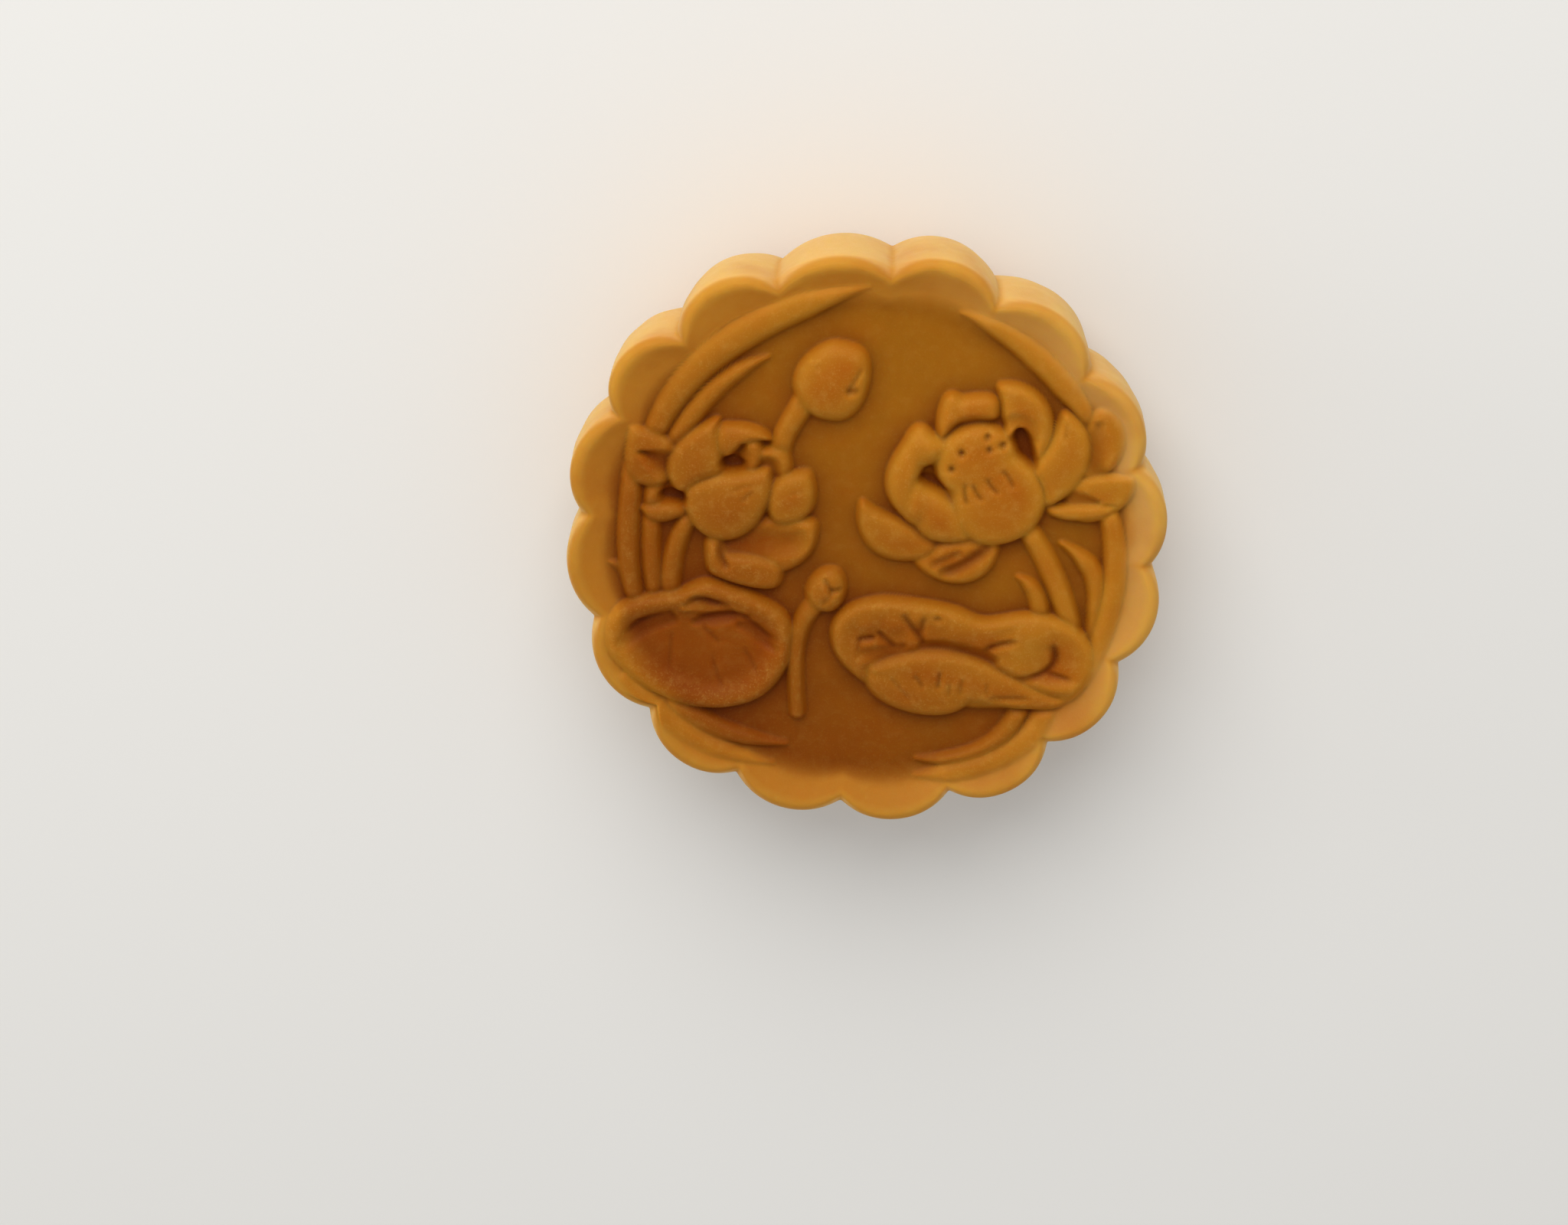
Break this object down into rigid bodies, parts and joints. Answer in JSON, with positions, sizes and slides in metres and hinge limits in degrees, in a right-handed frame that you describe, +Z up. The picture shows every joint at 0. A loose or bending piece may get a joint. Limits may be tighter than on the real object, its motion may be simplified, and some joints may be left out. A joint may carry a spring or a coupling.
{
  "type": "mooncake",
  "caption": "Whole round baked mooncake, firm filling in a golden crust, with a scalloped wall and a pond of flowers, leaves and grass in relief on its face.",
  "frame": {"origin": "centre of the flat base that the mooncake lies on", "axes": "+Z up out of the pressed face; +Y towards the upright edge of the pressed picture, where the tall bud points; +X to the picture's right"},
  "size_m": [0.0706, 0.0712, 0.0221],
  "materials": {
    "mooncake_crust": "baked and egg-washed, satin"
  },
  "bodies": {
    "root": {"mooncake": "mooncake_crust"}
  },
  "joints": []
}
